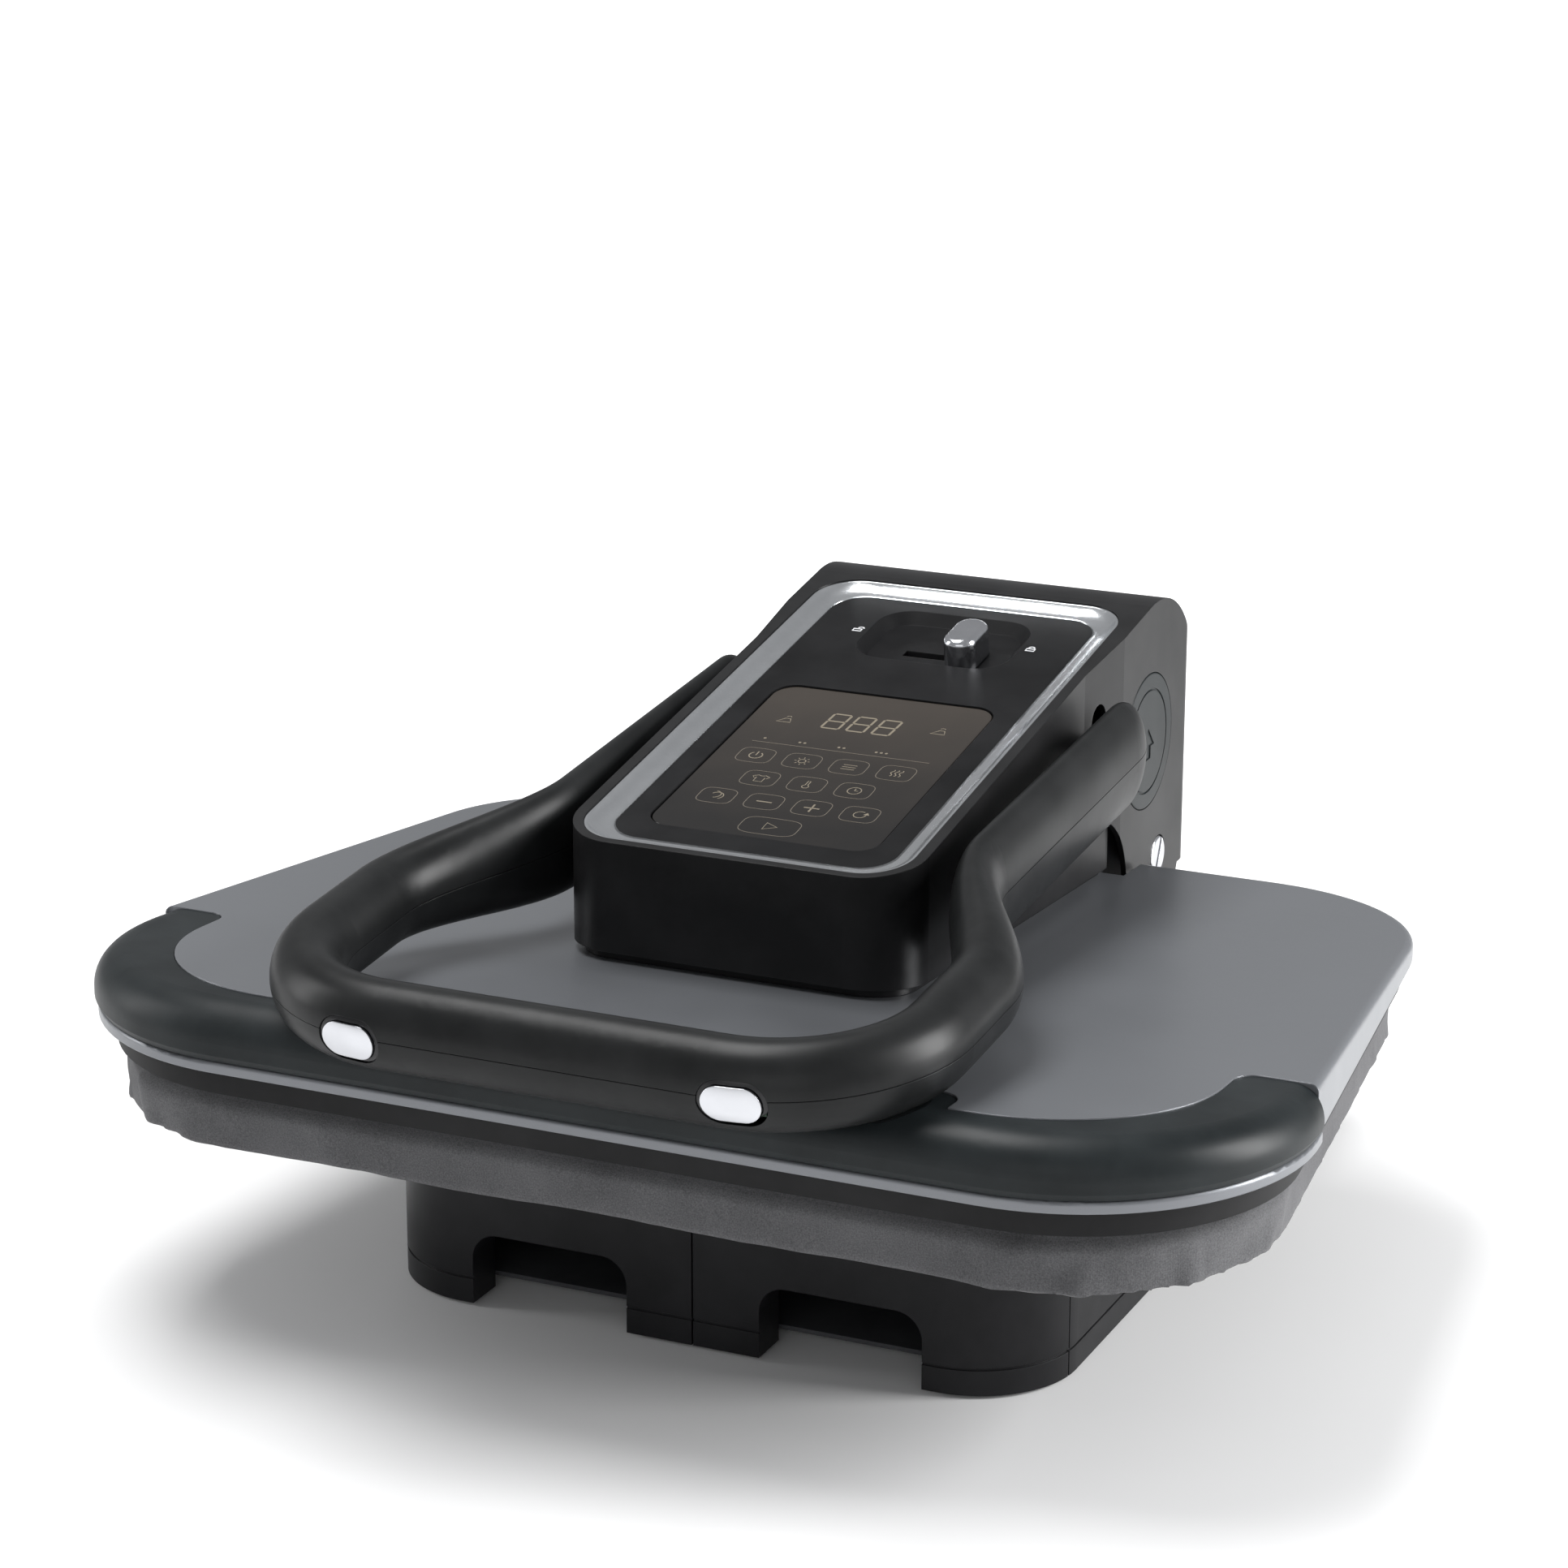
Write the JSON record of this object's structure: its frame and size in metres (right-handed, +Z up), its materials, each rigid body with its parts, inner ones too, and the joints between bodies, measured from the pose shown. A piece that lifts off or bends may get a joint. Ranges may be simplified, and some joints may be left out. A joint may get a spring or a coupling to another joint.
{
  "type": "heat press",
  "caption": "Clamshell steam and heat press: padded board on a narrow stand, wide heated head with sloping control face, loop handle with push buttons and a sliding lock.",
  "frame": {"origin": "under the middle of the whole closed press, at table level, where the rubber feet rest", "axes": "+X to the press's right-hand side as seen by a user standing at the handle, along the head's width; +Y from the handle towards the rear; +Z up"},
  "size_m": [0.539, 0.5194, 0.2581],
  "materials": {
    "base_front_right": "satin moulded",
    "base_front_left": "satin moulded",
    "base_body": "satin moulded",
    "bottom_plate": "black coated sheet",
    "rubber_feet": "moulded",
    "power_inlet": "moulded",
    "hinge_bracket": "black coated steel",
    "bracket_screws": "zinc plated",
    "guide_pins": "ground",
    "hinge_axle": "ground",
    "axle_caps": "polished",
    "lift_springs": "spring steel",
    "column_cover": "fine texture",
    "board_mount": "black coated steel",
    "board_tray": "grey coated steel",
    "foam_pad": "open cell foam",
    "board_fabric": "heathered felt",
    "heater_plate": "coated casting",
    "heating_element": "sheathed tube",
    "plate_surround": "heat resistant",
    "steam_chamber_lid": "cast",
    "thermostats": "plain",
    "insulation": "glass fibre blanket",
    "top_cover": "satin grey metallic",
    "front_guard": "satin",
    "head_housing": "satin",
    "rear_panel": "fine texture",
    "rear_panel_screws": "black zinc",
    "plinth": "satin",
    "bezel": "satin chrome",
    "control_deck": "satin gloss",
    "display_glass": "smoked panel with pale symbols",
    "display_board": "circuit board",
    "power_board": "circuit board",
    "chassis": "coated steel",
    "cover_screws": "zinc plated",
    "hinge_bushes": "sintered",
    "pivot_shaft": "ground",
    "pivot_cap_right": "satin",
    "pivot_cap_left": "satin",
    "water_tank": "translucent moulding",
    "water_pump": "moulded",
    "steam_hose": "silicone",
    "lock_knob": "polished",
    "lock_slide": "moulded",
    "handle_upper_shell": "satin",
    "handle_lower_shell": "satin",
    "handle_core": "bar",
    "handle_screws": "black zinc",
    "lever_right": "coated steel",
    "lever_left": "coated steel",
    "lever_bushes": "sintered",
    "button_rings": "moulded",
    "button_switches": "circuit board",
    "button_right": "satin chrome",
    "button_left": "satin chrome"
  },
  "bodies": {
    "stand": {"base_front_right": "base_front_right", "base_front_left": "base_front_left", "base_body": "base_body", "bottom_plate": "bottom_plate", "rubber_feet": "rubber_feet", "power_inlet": "power_inlet", "hinge_bracket": "hinge_bracket", "bracket_screws": "bracket_screws", "guide_pins": "guide_pins", "hinge_axle": "hinge_axle", "axle_caps": "axle_caps", "lift_springs": "lift_springs", "column_cover": "column_cover", "board_mount": "board_mount", "board_tray": "board_tray", "foam_pad": "foam_pad", "board_fabric": "board_fabric"},
    "head": {"heater_plate": "heater_plate", "heating_element": "heating_element", "plate_surround": "plate_surround", "steam_chamber_lid": "steam_chamber_lid", "thermostats": "thermostats", "insulation": "insulation", "top_cover": "top_cover", "front_guard": "front_guard", "head_housing": "head_housing", "rear_panel": "rear_panel", "rear_panel_screws": "rear_panel_screws", "plinth": "plinth", "bezel": "bezel", "control_deck": "control_deck", "display_glass": "display_glass", "display_board": "display_board", "power_board": "power_board", "chassis": "chassis", "cover_screws": "cover_screws", "hinge_bushes": "hinge_bushes", "pivot_shaft": "pivot_shaft", "pivot_cap_right": "pivot_cap_right", "pivot_cap_left": "pivot_cap_left", "water_tank": "water_tank", "water_pump": "water_pump", "steam_hose": "steam_hose"},
    "handle": {"handle_upper_shell": "handle_upper_shell", "handle_lower_shell": "handle_lower_shell", "handle_core": "handle_core", "handle_screws": "handle_screws", "lever_right": "lever_right", "lever_left": "lever_left", "lever_bushes": "lever_bushes", "button_rings": "button_rings", "button_switches": "button_switches"},
    "lock": {"lock_knob": "lock_knob", "lock_slide": "lock_slide"},
    "button_right": {"button_right": "button_right"},
    "button_left": {"button_left": "button_left"}
  },
  "joints": [
    {"name": "head_hinge", "type": "hinge", "parent": "stand", "child": "head", "pos_m": [0, 0.21361, 0.1323], "axis": [-1, 0, 0], "range_deg": [0, 45]},
    {"name": "handle_pivot", "type": "hinge", "parent": "head", "child": "handle", "pos_m": [0, 0.19571, 0.193], "axis": [-1, 0, 0], "range_deg": [0, 10]},
    {"name": "lock_travel", "type": "slide", "parent": "head", "child": "lock", "axis": [1, 0, 0], "range_m": [-0.0274, 0]},
    {"name": "button_right_push", "type": "slide", "parent": "handle", "child": "button_right", "axis": [0, 1, 0], "range_m": [0, 0.0025]},
    {"name": "button_left_push", "type": "slide", "parent": "handle", "child": "button_left", "axis": [0, 1, 0], "range_m": [0, 0.0025]}
  ],
  "couplings": [
    {"joint": "handle_pivot", "follows": "head_hinge", "ratio": 0.22}
  ]
}
